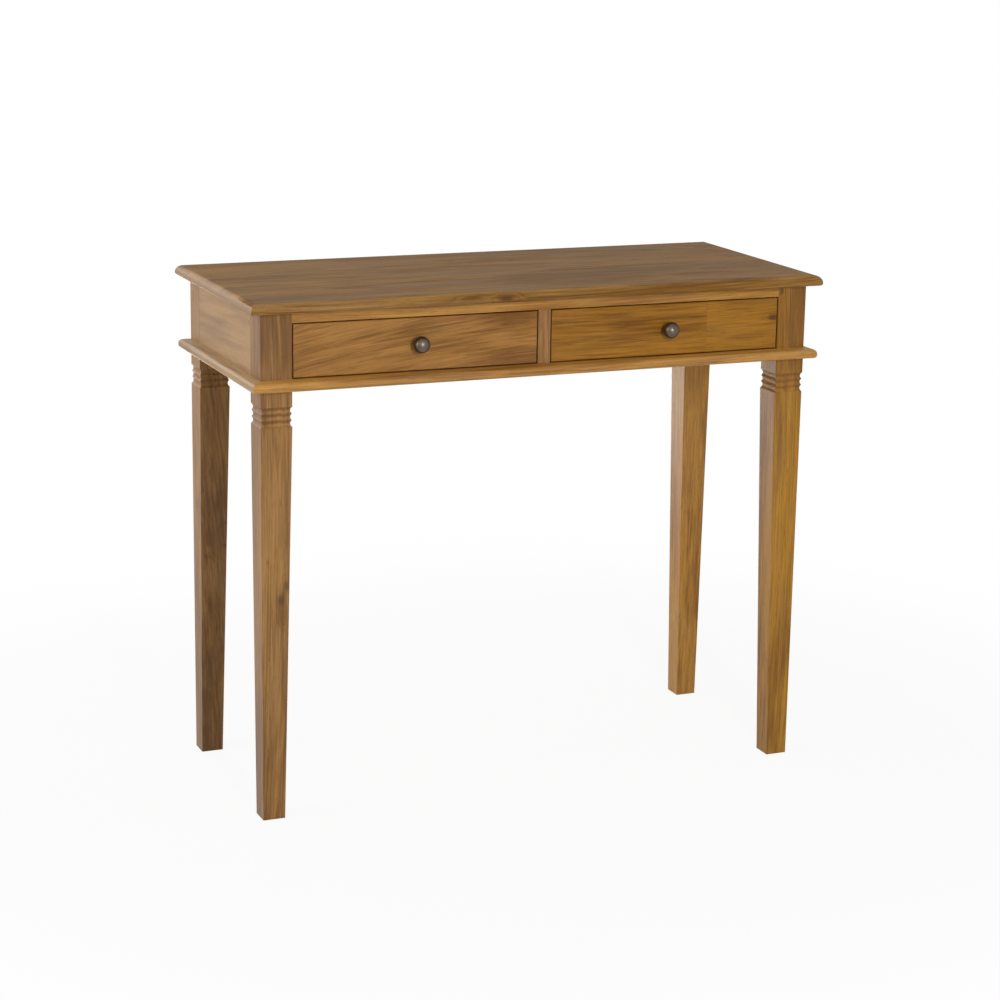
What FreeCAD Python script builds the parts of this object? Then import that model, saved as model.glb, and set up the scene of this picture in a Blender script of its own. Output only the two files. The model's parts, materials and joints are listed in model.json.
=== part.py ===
import FreeCAD, Part
import os
import Sketcher

# Writing desk of solid wood with two drawers side by side under a moulded top.
# Units are millimetres. +X runs along the front to the right, +Y to the back, +Z up.
# The origin is on the floor, under the middle of the desk's own box, knobs included.

# Driving sizes: alias, value, what it measures.
SIZES = [
    ("desk_width", 920, "top panel along the front, nose to nose"),
    ("desk_depth", 396, "top panel front to back, nose to nose"),
    ("desk_height", 780, "floor to the writing surface"),
    ("top_thickness", 16, "top panel"),
    ("top_overhang", 19, "top panel past the posts, all round"),
    ("top_upper_round", 11.5, "radius worked on the upper edge of the top"),
    ("top_lower_round", 4, "radius worked on the lower edge of the top"),
    ("top_board_count", 5, "boards glued edge to edge into the top"),
    ("post_size", 47.5, "square section of a leg above its taper"),
    ("foot_size", 34, "square section of a leg at the floor"),
    ("block_drop", 24.5, "plain block of a leg below the skirt"),
    ("cove_count", 3, "coves round the neck of a leg"),
    ("cove_pitch", 9.6, "one cove to the next"),
    ("cove_radius", 6.8, "radius of the cove cutter"),
    ("cove_depth", 2.5, "cove into the face of the leg"),
    ("apron_height", 114, "side and back aprons"),
    ("apron_thickness", 20, "side and back aprons"),
    ("top_rail_height", 16.5, "rail and kickers over the drawers"),
    ("skirt_height", 16, "rail and runners under the drawers, and the moulding round them"),
    ("moulding_projection", 16, "skirt moulding out from the posts"),
    ("moulding_fall", 3, "upper face of the moulding, from the posts down to its nose"),
    ("moulding_upper_round", 7, "radius worked on the upper edge of the moulding"),
    ("moulding_lower_round", 5, "radius worked on the lower edge of the moulding"),
    ("divider_width", 20, "upright between the drawers"),
    ("tenon_length", 20, "aprons and rails into the legs"),
    ("tenon_thickness", 8, "every tenon"),
    ("tenon_shoulder", 10, "from the edge of a board to its tenon"),
    ("stub_length", 6, "stub tenons of the divider and the centre bearer"),
    ("mortise_play", 0.2, "a mortise past its tenon, on every side"),
    ("bearer_width", 60, "centre bearer and centre kicker"),
    ("runner_reach", 30, "side runner in under its drawer"),
    ("guide_height", 24, "strips that guide the drawer sides"),
    ("stop_length", 30, "drawer stop along the rail"),
    ("stop_width", 15, "drawer stop front to back"),
    ("stop_height", 5, "drawer stop above the rail"),
    ("stop_spacing", 200, "one stop to the other behind a drawer front"),
    ("drawer_gap", 1.8, "round each drawer front, and beside its box"),
    ("running_gap", 0.3, "drawer above its runners, and front to its stops"),
    ("drawer_front_thickness", 20, "drawer front"),
    ("drawer_side_thickness", 12, "drawer sides"),
    ("drawer_back_thickness", 12, "drawer back"),
    ("drawer_lap", 8, "wood of the drawer front left before the dovetails"),
    ("drawer_rear_room", 18, "behind a closed drawer"),
    ("side_top_drop", 2, "drawer sides below the top of the front"),
    ("front_edge_round", 1.5, "eased edges of a drawer front"),
    ("tail_count", 3, "dovetails on each drawer side"),
    ("tail_root", 14, "height of a dovetail at its root"),
    ("tail_flare", 2, "spread of a dovetail on each flank"),
    ("back_dado", 4, "drawer back into each side"),
    ("back_inset", 6, "drawer back in from the rear ends of the sides"),
    ("bottom_thickness", 5, "drawer bottom panel"),
    ("bottom_rise", 8, "drawer bottom above the lower edge of the sides"),
    ("groove_depth", 5, "drawer bottom into the sides and front"),
    ("groove_play", 0.2, "a groove past the panel, on every side"),
    ("knob_projection", 29.5, "knob out from the drawer front"),
    ("knob_diameter", 25, "ball of the knob"),
    ("ball_sides", 20, "facets round the ball of the knob"),
    ("ball_rows", 8, "rows of facets on the ball, stem to tip"),
    ("ball_seat_diameter", 14, "flat of the ball round its stem"),
    ("knob_tip_diameter", 4, "small flat at the tip of the ball"),
    ("knob_stem_diameter", 9, "stem behind the ball"),
    ("knob_foot_diameter", 12, "foot of the knob against the drawer front"),
    ("knob_foot_height", 2.5, "foot of the knob"),
    ("knob_rise", 1.75, "knob's axis above the middle of the drawer front"),
    ("knob_bore_depth", 11, "screw hole in the knob"),
    ("knob_screw_reach", 9, "screw into the knob"),
    ("screw_diameter", 4, "shank of every screw"),
    ("screw_head_diameter", 8, "head of every screw"),
    ("screw_head_height", 2.6, "head of every screw"),
    ("screw_play", 0.2, "a screw hole past its screw, on the radius"),
    ("top_screw_bite", 10, "top screws into the top"),
    ("top_screw_inset", 45, "top screws in from the ends of the side kickers"),
]

# Planes and levels that follow from the driving sizes: alias, formula, what it is.
LAYOUT = [
    ("frame_half_width", "Sizes.desk_width / 2 - Sizes.top_overhang", "centre to a post's outer face"),
    ("frame_depth", "Sizes.desk_depth - 2 * Sizes.top_overhang", "over the posts, front to back"),
    ("front_reach", "max(Sizes.knob_projection; Sizes.top_overhang)", "furthest point before the posts"),
    ("front_plane", "(front_reach - Sizes.top_overhang - frame_depth) / 2", "front faces of the posts"),
    ("back_plane", "front_plane + frame_depth", "back faces of the rear posts"),
    ("middle_plane", "(front_plane + back_plane) / 2", "middle of the posts, front to back"),
    ("post_top", "Sizes.desk_height - Sizes.top_thickness", "underside of the top"),
    ("skirt_bottom", "post_top - Sizes.apron_height", "lower edge of the aprons"),
    ("opening_bottom", "skirt_bottom + Sizes.skirt_height", "floor of the drawer openings"),
    ("opening_top", "post_top - Sizes.top_rail_height", "ceiling of the drawer openings"),
    ("opening_side", "frame_half_width - Sizes.post_size", "inner faces of the posts"),
    ("apron_inside", "frame_half_width - Sizes.apron_thickness", "inner faces of the side aprons"),
    ("rail_back", "front_plane + Sizes.post_size", "back edges of the front rails"),
    ("rear_post_front", "back_plane - Sizes.post_size", "front faces of the rear posts"),
    ("back_inside", "back_plane - Sizes.apron_thickness", "inner face of the back apron"),
    ("taper_top", "skirt_bottom - Sizes.block_drop - Sizes.cove_count * Sizes.cove_pitch", "leg taper"),
    ("cove_offset", "Sizes.cove_radius - Sizes.cove_depth", "cutter's centre outside the leg's face"),
    ("front_width", "opening_side - Sizes.divider_width / 2 - 2 * Sizes.drawer_gap", "a drawer front"),
    ("front_bottom", "opening_bottom + Sizes.drawer_gap", "lower edge of a drawer front"),
    ("front_height", "opening_top - opening_bottom - 2 * Sizes.drawer_gap", "a drawer front"),
    ("front_inside", "front_plane + Sizes.drawer_front_thickness", "inner face of a drawer front"),
    ("drawer_centre", "(opening_side + Sizes.divider_width / 2) / 2", "middle of a drawer from the middle"),
    ("side_bottom", "opening_bottom + Sizes.running_gap", "lower edge of the drawer sides"),
    ("side_height", "front_bottom + front_height - Sizes.side_top_drop - side_bottom", "drawer sides"),
    ("side_rear", "back_inside - Sizes.drawer_rear_room", "rear ends of the drawer sides"),
    ("tail_length", "Sizes.drawer_front_thickness - Sizes.drawer_lap", "dovetails into the front"),
    ("tail_pitch", "side_height / Sizes.tail_count", "one dovetail to the next"),
    ("inner_half_width", "front_width / 2 - Sizes.drawer_side_thickness", "drawer's middle to a side"),
    ("bottom_under", "side_bottom + Sizes.bottom_rise", "underside of the drawer bottom"),
    ("bottom_over", "bottom_under + Sizes.bottom_thickness", "upper face of the drawer bottom"),
    ("back_rear", "side_rear - Sizes.back_inset", "rear face of the drawer back"),
    ("back_front", "back_rear - Sizes.drawer_back_thickness", "front face of the drawer back"),
    ("knob_level", "front_bottom + front_height / 2 + Sizes.knob_rise", "knob's axis above the floor"),
    ("knob_radius", "Sizes.knob_diameter / 2", "ball of the knob"),
    ("seat_angle", "-acos(Sizes.ball_seat_diameter / Sizes.knob_diameter)", "where the ball begins"),
    ("tip_angle", "acos(Sizes.knob_tip_diameter / Sizes.knob_diameter)", "where the ball ends"),
    ("ball_length", "knob_radius * (sin(tip_angle) - sin(seat_angle))", "ball along its axis"),
    ("ball_back", "front_plane - Sizes.knob_projection + ball_length", "flat of the ball at its stem"),
    ("knob_foot_front", "front_plane - Sizes.knob_foot_height", "front face of the knob's foot"),
    ("screw_radius", "Sizes.screw_diameter / 2", "shank of every screw"),
    ("screw_head_radius", "Sizes.screw_head_diameter / 2", "head of every screw"),
    ("bore_radius", "screw_radius + Sizes.screw_play", "hole for every screw"),
    ("sink_radius", "screw_head_radius + Sizes.screw_play", "mouth of a countersunk hole"),
    ("screw_neck", "opening_top + Sizes.screw_head_height", "top screws, where head and shank meet"),
    ("screw_tip", "post_top + Sizes.top_screw_bite", "points of the top screws"),
]

doc = FreeCAD.newDocument("writing_desk")
nodes = []


def add_sheet(name, rows, lead):
    """Put named values on a sheet of their own: the note, then the value with its alias."""
    sheet = doc.addObject("Spreadsheet::Sheet", name)
    for row, (alias, content, note) in enumerate(rows, start=1):
        sheet.set(f"A{row}", note)
        sheet.set(f"B{row}", f"{lead}{content}")
        sheet.setAlias(f"B{row}", alias)
    doc.recompute()
    return sheet


sizes = add_sheet("Sizes", SIZES, "")
layout = add_sheet("Layout", LAYOUT, "=")


def value(formula):
    """Number that a formula of sheet names stands for."""
    return float(sizes.evalExpression(formula))


def count(alias):
    """Whole number of copies that a cell of the driving sizes holds."""
    return int(round(value(f"Sizes.{alias}")))


def near(first, second):
    """Whether two lengths are the same, within the modeller's own tolerance."""
    return abs(first - second) < 1e-6


def span(limits):
    """Formula for the length from the first limit to the second."""
    low, high = limits
    return f"({high}) - ({low})"


def around(centre, width):
    """Limits that lie half a width to each side of a centre."""
    return (f"({centre}) - ({width}) / 2", f"({centre}) + ({width}) / 2")


def widened(limits, play):
    """The same limits with some play past both ends."""
    low, high = limits
    return (f"({low}) - ({play})", f"({high}) + ({play})")


def to_side(side, limits):
    """Limits given for the right half of the desk, turned over for the left half."""
    low, high = limits
    if side == "right":
        return limits
    return (f"-({high})", f"-({low})")


def place(piece, x, y, z):
    """Tie a piece's position to the sheets."""
    for axis, formula in (("x", x), ("y", y), ("z", z)):
        piece.setExpression(f"Placement.Base.{axis}", formula)


def keep(piece, label):
    """Give a finished piece its node name and put it on the list that is written out."""
    piece.Label = label
    nodes.append(piece)
    return piece


def board(name, x, y, z):
    """Square-edged board between two limits each way."""
    piece = doc.addObject("Part::Box", name)
    piece.setExpression("Length", span(x))
    piece.setExpression("Width", span(y))
    piece.setExpression("Height", span(z))
    place(piece, x[0], y[0], z[0])
    return piece


def rod(name, radius, axis, centre, limits):
    """Round bar along Y or Z, with its centre in the other two directions."""
    piece = doc.addObject("Part::Cylinder", name)
    piece.setExpression("Radius", radius)
    piece.setExpression("Height", span(limits))
    if axis == "y":
        piece.Placement.Rotation = FreeCAD.Rotation(FreeCAD.Vector(1, 0, 0), -90)
        place(piece, centre[0], limits[0], centre[1])
    else:
        place(piece, centre[0], centre[1], limits[0])
    return piece


def join(name, pieces):
    """Glue shapes into one solid, or gather cutters that lie apart."""
    piece = doc.addObject("Part::MultiFuse", name)
    piece.Shapes = pieces
    piece.Refine = True
    return piece


def carve(name, blank, cutters):
    """Cut one or more shapes out of a blank."""
    piece = doc.addObject("Part::Cut", name)
    piece.Base = blank
    piece.Tool = cutters[0] if len(cutters) == 1 else join(f"{name}_cutters", cutters)
    piece.Refine = True
    return piece


def gather(label, pieces):
    """Like pieces that share one node, as separate solids."""
    group = doc.addObject("Part::Compound", label)
    group.Links = pieces
    return keep(group, label)


def origin_part(body, role):
    """One of a body's own base planes or axes."""
    return next(part for part in body.Origin.OriginFeatures if part.Role == role)


def sketch_on(body, role):
    """Empty sketch on one of a body's base planes."""
    sketch = body.newObject("Sketcher::SketchObject", f"{body.Name}_sketch")
    sketch.AttachmentSupport = [(origin_part(body, role), "")]
    sketch.MapMode = "FlatFace"
    return sketch


def tie_point(sketch, edge, end, across, up):
    """Tie one point of a sketch to the sheets, measured from the sketch's origin."""
    for kind, axis, formula in (("DistanceX", -2, across), ("DistanceY", -1, up)):
        if formula == "0":
            sketch.addConstraint(Sketcher.Constraint("PointOnObject", edge, end, axis))
            continue
        index = sketch.addConstraint(Sketcher.Constraint(kind, -1, 1, edge, end, value(formula)))
        sketch.setExpression(f"Constraints[{index}]", formula)


def draw_outline(sketch, corners):
    """Closed outline of straight edges through corners that are tied to the sheets."""
    points = [FreeCAD.Vector(value(across), value(up), 0) for across, up in corners]
    for start, end in zip(points, points[1:] + points[:1]):
        sketch.addGeometry(Part.LineSegment(start, end), False)
    for edge, (across, up) in enumerate(corners):
        before = (edge - 1) % len(corners)
        sketch.addConstraint(Sketcher.Constraint("Coincident", before, 2, edge, 1))
        tie_point(sketch, edge, 1, across, up)


def draw_circles(sketch, centres, radius):
    """Circles of one radius."""
    for across, up in centres:
        centre = FreeCAD.Vector(value(across), value(up), 0)
        circle = Part.Circle(centre, FreeCAD.Vector(0, 0, 1), value(radius))
        edge = sketch.addGeometry(circle, False)
        tie_point(sketch, edge, 3, across, up)
        index = sketch.addConstraint(Sketcher.Constraint("Radius", edge, value(radius)))
        sketch.setExpression(f"Constraints[{index}]", radius)


def pad(body, sketch, length, reverse=False):
    """Raise a sketch into a solid."""
    feature = body.newObject("PartDesign::Pad", f"{body.Name}_pad")
    feature.Profile = sketch
    feature.setExpression("Length", length)
    feature.Reversed = reverse
    doc.recompute()
    return feature


def cut_through(body, sketch):
    """Cut a sketch right through the solid, both ways from its plane."""
    before = body.Shape.Volume
    feature = body.newObject("PartDesign::Pocket", f"{body.Name}_cut")
    feature.Profile = sketch
    feature.Type = "ThroughAll"
    feature.Midplane = True
    doc.recompute()
    if body.Shape.Volume >= before:
        raise RuntimeError(f"{body.Label}: a cut took nothing away")
    return feature


def round_edges(body, base, radius, wanted):
    """Round the edges of a feature whose two ends pass a test."""
    doc.recompute()
    names = []
    for number, edge in enumerate(base.Shape.Edges, start=1):
        start, end = [vertex.Point for vertex in edge.Vertexes]
        if wanted(start, end):
            names.append(f"Edge{number}")
    feature = body.newObject("PartDesign::Fillet", f"{body.Name}_round")
    feature.Base = (base, names)
    feature.setExpression("Radius", radius)
    doc.recompute()
    return feature


def leg_blank(name):
    """Leg with its outer corner on the local Z axis: post, coved neck and taper on the inner faces."""
    body = doc.addObject("PartDesign::Body", name)
    template = sketch_on(body, "XZ_Plane")
    draw_outline(template, [
        ("0", "0"),
        ("Sizes.foot_size", "0"),
        ("Sizes.post_size", "Layout.taper_top"),
        ("Sizes.post_size", "Layout.post_top"),
        ("0", "Layout.post_top"),
    ])
    pad(body, template, "Sizes.post_size", reverse=True)
    waste = sketch_on(body, "YZ_Plane")
    draw_outline(waste, [
        ("Sizes.foot_size", "0"),
        ("Sizes.post_size", "0"),
        ("Sizes.post_size", "Layout.taper_top"),
    ])
    cut_through(body, waste)
    lowest = "Layout.taper_top + Sizes.cove_pitch / 2"
    cutter_centres = [
        ("-Layout.cove_offset", lowest),
        ("Sizes.post_size + Layout.cove_offset", lowest),
    ]
    coves = []
    for plane in ("XZ_Plane", "YZ_Plane"):
        cutters = sketch_on(body, plane)
        draw_circles(cutters, cutter_centres, "Sizes.cove_radius")
        coves.append(cut_through(body, cutters))
    neck = body.newObject("PartDesign::LinearPattern", f"{name}_neck")
    neck.Originals = coves
    neck.Direction = (origin_part(body, "Z_Axis"), [""])
    neck.setExpression("Length", "Sizes.cove_pitch * (Sizes.cove_count - 1)")
    neck.Occurrences = count("cove_count")
    body.Tip = neck
    doc.recompute()
    return body


# Tenons and stubs as boxes in the desk's frame. A longer box through the middle of its board
# makes the tenons at both ends, and the same box with some play makes their mortises.
TENON = "Sizes.tenon_thickness"
APRON_CORE_HEIGHT = (
    "Layout.skirt_bottom + Sizes.tenon_shoulder",
    "Layout.post_top - Sizes.tenon_shoulder",
)
SIDE_CORE_LENGTH = (
    "Layout.rail_back - Sizes.tenon_length",
    "Layout.rear_post_front + Sizes.tenon_length",
)
CROSS_CORE_LENGTH = (
    "-(Layout.opening_side + Sizes.tenon_length)",
    "Layout.opening_side + Sizes.tenon_length",
)
RAIL_CORE_DEPTH = (
    "Layout.front_plane + Sizes.tenon_shoulder",
    "Layout.rail_back - Sizes.tenon_shoulder",
)
TOP_RAIL_MIDDLE = "Layout.post_top - Sizes.top_rail_height / 2"
SKIRT_MIDDLE = "Layout.skirt_bottom + Sizes.skirt_height / 2"
SIDE_APRON_MIDDLE = "Layout.frame_half_width - Sizes.apron_thickness / 2"
BACK_APRON_MIDDLE = "Layout.back_plane - Sizes.apron_thickness / 2"

CORES = {
    "left_apron": (to_side("left", around(SIDE_APRON_MIDDLE, TENON)), SIDE_CORE_LENGTH, APRON_CORE_HEIGHT),
    "right_apron": (around(SIDE_APRON_MIDDLE, TENON), SIDE_CORE_LENGTH, APRON_CORE_HEIGHT),
    "back_apron": (CROSS_CORE_LENGTH, around(BACK_APRON_MIDDLE, TENON), APRON_CORE_HEIGHT),
    "front_top_rail": (CROSS_CORE_LENGTH, RAIL_CORE_DEPTH, around(TOP_RAIL_MIDDLE, TENON)),
    "front_bottom_rail": (CROSS_CORE_LENGTH, RAIL_CORE_DEPTH, around(SKIRT_MIDDLE, TENON)),
    "drawer_divider": (
        around("0", TENON),
        RAIL_CORE_DEPTH,
        widened(("Layout.opening_bottom", "Layout.opening_top"), "Sizes.stub_length"),
    ),
    "centre_bearer": (
        around("0", "Sizes.bearer_width - 2 * Sizes.tenon_shoulder"),
        widened(("Layout.rail_back", "Layout.back_inside"), "Sizes.stub_length"),
        around(SKIRT_MIDDLE, TENON),
    ),
}


def core(owner):
    """Box that carries the tenons of one board."""
    return board(f"{owner}_core", *CORES[owner])


def mortise(owner, host):
    """Cutter for the mortises that one board's tenons need in another piece."""
    limits = [widened(pair, "Sizes.mortise_play") for pair in CORES[owner]]
    return board(f"{host}_mortise_for_{owner}", *limits)


def legs():
    """Four legs, each turned to its corner and mortised for the boards that meet there."""
    corners = [
        ("front_left_leg", "-Layout.frame_half_width", "Layout.front_plane", 0,
         ["left_apron", "front_top_rail", "front_bottom_rail"]),
        ("front_right_leg", "Layout.frame_half_width", "Layout.front_plane", 90,
         ["right_apron", "front_top_rail", "front_bottom_rail"]),
        ("rear_right_leg", "Layout.frame_half_width", "Layout.back_plane", 180,
         ["right_apron", "back_apron"]),
        ("rear_left_leg", "-Layout.frame_half_width", "Layout.back_plane", 270,
         ["left_apron", "back_apron"]),
    ]
    for label, x, y, turn, neighbours in corners:
        blank = leg_blank(f"{label}_blank")
        blank.Placement.Rotation = FreeCAD.Rotation(FreeCAD.Vector(0, 0, 1), turn)
        place(blank, x, y, "0")
        cutters = [mortise(owner, label) for owner in neighbours]
        keep(carve(label, blank, cutters), label)


def aprons():
    """Side and back aprons, flush with the posts and tenoned into them."""
    height = ("Layout.skirt_bottom", "Layout.post_top")
    between_posts = ("Layout.rail_back", "Layout.rear_post_front")
    for side in ("left", "right"):
        label = f"{side}_apron"
        thickness = to_side(side, ("Layout.apron_inside", "Layout.frame_half_width"))
        plank = board(f"{label}_plank", thickness, between_posts, height)
        keep(join(label, [plank, core(label)]), label)
    across = ("-Layout.opening_side", "Layout.opening_side")
    plank = board("back_apron_plank", across, ("Layout.back_inside", "Layout.back_plane"), height)
    back = join("back_apron_blank", [plank, core("back_apron")])
    keep(carve("back_apron", back, [mortise("centre_bearer", "back_apron")]), "back_apron")


def front_frame():
    """Rails over and under the drawers, and the upright between the drawers."""
    across = ("-Layout.opening_side", "Layout.opening_side")
    depth = ("Layout.front_plane", "Layout.rail_back")
    plank = board("top_rail_plank", across, depth, ("Layout.opening_top", "Layout.post_top"))
    blank = join("top_rail_blank", [plank, core("front_top_rail")])
    keep(carve("front_top_rail", blank, [mortise("drawer_divider", "front_top_rail")]), "front_top_rail")

    plank = board("bottom_rail_plank", across, depth, ("Layout.skirt_bottom", "Layout.opening_bottom"))
    blank = join("bottom_rail_blank", [plank, core("front_bottom_rail")])
    cutters = [mortise(owner, "front_bottom_rail") for owner in ("drawer_divider", "centre_bearer")]
    keep(carve("front_bottom_rail", blank, cutters), "front_bottom_rail")

    width = around("0", "Sizes.divider_width")
    plank = board("divider_plank", width, depth, ("Layout.opening_bottom", "Layout.opening_top"))
    keep(join("drawer_divider", [plank, core("drawer_divider")]), "drawer_divider")


def drawer_ways(screw_holes):
    """Bearer, runners, guides and kickers that the drawers slide on, between and under."""
    low = ("Layout.skirt_bottom", "Layout.opening_bottom")
    guiding = ("Layout.opening_bottom", "Layout.opening_bottom + Sizes.guide_height")
    high = ("Layout.opening_top", "Layout.post_top")
    to_back = ("Layout.rail_back", "Layout.back_inside")
    between_posts = ("Layout.rail_back", "Layout.rear_post_front")

    middle = around("0", "Sizes.bearer_width")
    plank = board("centre_bearer_plank", middle, to_back, low)
    keep(join("centre_bearer", [plank, core("centre_bearer")]), "centre_bearer")
    keep(board("centre_guide", around("0", "Sizes.divider_width"), to_back, guiding), "centre_guide")
    keep(board("centre_kicker", middle, to_back, high), "centre_kicker")

    for side in ("left", "right"):
        bearing = to_side(side, ("Layout.opening_side - Sizes.runner_reach", "Layout.apron_inside"))
        beside = to_side(side, ("Layout.opening_side", "Layout.apron_inside"))
        keep(board(f"{side}_runner", bearing, between_posts, low), f"{side}_runner")
        keep(board(f"{side}_guide", beside, between_posts, guiding), f"{side}_guide")
        plank = board(f"{side}_kicker_plank", bearing, between_posts, high)
        keep(carve(f"{side}_kicker", plank, [screw_holes]), f"{side}_kicker")


def drawer_stops():
    """Blocks on the bottom rail that stop each drawer with its front flush."""
    start = "Layout.front_inside + Sizes.running_gap"
    depth = (start, f"{start} + Sizes.stop_width")
    height = ("Layout.opening_bottom", "Layout.opening_bottom + Sizes.stop_height")
    blocks = []
    for side, sign in (("left", "-"), ("right", "")):
        for end, shift in (("outer", "-"), ("inner", "+")):
            centre = f"{sign}Layout.drawer_centre {shift} Sizes.stop_spacing / 2"
            blocks.append(board(f"{side}_{end}_stop", around(centre, "Sizes.stop_length"), depth, height))
    gather("drawer_stops", blocks)


def mouldings():
    """Strips round the skirt with a sloping upper face and a rounded nose, mitred at the corners."""
    strips = [
        ("front_moulding", "2 * Layout.frame_half_width", ("0", "Layout.front_plane"), 0),
        ("right_moulding", "Layout.frame_depth", ("Layout.frame_half_width", "Layout.middle_plane"), 90),
        ("back_moulding", "2 * Layout.frame_half_width", ("0", "Layout.back_plane"), 180),
        ("left_moulding", "Layout.frame_depth", ("-Layout.frame_half_width", "Layout.middle_plane"), 270),
    ]
    out = "Sizes.moulding_projection"
    high = "Sizes.skirt_height"
    arris = "Sizes.skirt_height - Sizes.moulding_fall"

    def along_nose(level):
        """Test for the edge that runs along the nose of a strip at a level."""
        nose = -value(out)
        height = value(level)
        return lambda start, end: all(near(point.y, nose) and near(point.z, height) for point in (start, end))

    for label, length, (x, y), turn in strips:
        body = doc.addObject("PartDesign::Body", label)
        plan = sketch_on(body, "XY_Plane")
        draw_outline(plan, [
            (f"-({length}) / 2 - {out}", f"-{out}"),
            (f"({length}) / 2 + {out}", f"-{out}"),
            (f"({length}) / 2", "0"),
            (f"-({length}) / 2", "0"),
        ])
        pad(body, plan, high)
        waste = sketch_on(body, "YZ_Plane")
        draw_outline(waste, [("0", high), (f"-{out}", high), (f"-{out}", arris)])
        sloped = cut_through(body, waste)
        upper = round_edges(body, sloped, "Sizes.moulding_upper_round", along_nose(arris))
        round_edges(body, upper, "Sizes.moulding_lower_round", along_nose("0"))
        body.Placement.Rotation = FreeCAD.Rotation(FreeCAD.Vector(0, 0, 1), turn)
        place(body, x, y, "Layout.skirt_bottom")
        keep(body, label)


def countersunk(name, centre, shank_radius, head_radius, tip):
    """Shank and conical head of a screw from below, or with larger radii the hole that it needs."""
    shank = rod(f"{name}_shank", shank_radius, "z", centre, ("Layout.screw_neck", tip))
    head = doc.addObject("Part::Cone", f"{name}_head")
    head.setExpression("Radius1", head_radius)
    head.setExpression("Radius2", shank_radius)
    head.setExpression("Height", "Sizes.screw_head_height")
    place(head, centre[0], centre[1], "Layout.opening_top")
    return join(name, [shank, head])


def top_screws():
    """Screws up through the side kickers that hold the top, and the holes that they need."""
    middle = "(Layout.opening_side - Sizes.runner_reach + Layout.apron_inside) / 2"
    rows = [
        "Layout.rail_back + Sizes.top_screw_inset",
        "Layout.rear_post_front - Sizes.top_screw_inset",
    ]
    screws = []
    holes = []
    for x in (f"-{middle}", middle):
        for y in rows:
            number = len(screws) + 1
            screws.append(countersunk(f"top_screw_{number}", (x, y), "Layout.screw_radius",
                                      "Layout.screw_head_radius", "Layout.screw_tip"))
            holes.append(countersunk(f"top_screw_hole_{number}", (x, y), "Layout.bore_radius",
                                     "Layout.sink_radius", "Layout.screw_tip + Sizes.screw_play"))
    gather("top_screws", screws)
    return join("top_screw_holes", holes)


def top_boards(screw_holes):
    """Top panel: moulded round its edge, in the boards that it is glued up from."""
    nose_front = "Layout.front_plane - Sizes.top_overhang"
    nose_back = "Layout.back_plane + Sizes.top_overhang"
    half_width = "Sizes.desk_width / 2"
    panel = doc.addObject("PartDesign::Body", "top_panel")
    plan = sketch_on(panel, "XY_Plane")
    draw_outline(plan, [
        (f"-{half_width}", nose_front),
        (half_width, nose_front),
        (half_width, nose_back),
        (f"-{half_width}", nose_back),
    ])
    slab = pad(panel, plan, "Sizes.top_thickness")
    thickness = value("Sizes.top_thickness")
    upper = round_edges(panel, slab, "Sizes.top_upper_round",
                        lambda start, end: near(start.z, thickness) and near(end.z, thickness))
    round_edges(panel, upper, "Sizes.top_lower_round",
                lambda start, end: near(start.z, 0) and near(end.z, 0))
    place(panel, "0", "0", "Layout.post_top")

    total = count("top_board_count")
    width = "Sizes.desk_depth / Sizes.top_board_count"
    for number in range(total):
        label = f"top_board_{number + 1}"
        strip = board(f"{label}_strip",
                      (f"-{half_width}", half_width),
                      (f"{nose_front} + {number} * {width}", f"{nose_front} + {number + 1} * {width}"),
                      ("Layout.post_top", "Sizes.desk_height"))
        plank = doc.addObject("Part::Common", f"{label}_plank")
        plank.Base = panel
        plank.Tool = strip
        keep(carve(label, plank, [screw_holes]), label)


def drawer_side_blank(name):
    """Drawer side with dovetails on its front end, before it is grooved."""
    body = doc.addObject("PartDesign::Body", name)
    outline = [("0", "0")]
    for number in range(count("tail_count")):
        centre = f"Layout.tail_pitch * {number + 0.5}"
        root = "Sizes.tail_root / 2"
        spread = f"({root} + Sizes.tail_flare)"
        outline += [
            ("0", f"{centre} - {root}"),
            ("-Layout.tail_length", f"{centre} - {spread}"),
            ("-Layout.tail_length", f"{centre} + {spread}"),
            ("0", f"{centre} + {root}"),
        ]
    length = "Layout.side_rear - Layout.front_inside"
    outline += [("0", "Layout.side_height"), (length, "Layout.side_height"), (length, "0")]
    face = sketch_on(body, "YZ_Plane")
    draw_outline(face, outline)
    pad(body, face, "Sizes.drawer_side_thickness")
    return body


def drawer_front_blank(name, centre):
    """Drawer front with its outer edges eased, before it is cut for the sides and the bottom."""
    body = doc.addObject("PartDesign::Body", name)
    face = sketch_on(body, "XZ_Plane")
    half_width = "Layout.front_width / 2"
    draw_outline(face, [
        (f"-{half_width}", "0"),
        (half_width, "0"),
        (half_width, "Layout.front_height"),
        (f"-{half_width}", "Layout.front_height"),
    ])
    slab = pad(body, face, "Sizes.drawer_front_thickness", reverse=True)
    round_edges(body, slab, "Sizes.front_edge_round",
                lambda start, end: near(start.y, 0) and near(end.y, 0))
    place(body, centre, "Layout.front_plane", "Layout.front_bottom")
    return body


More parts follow.
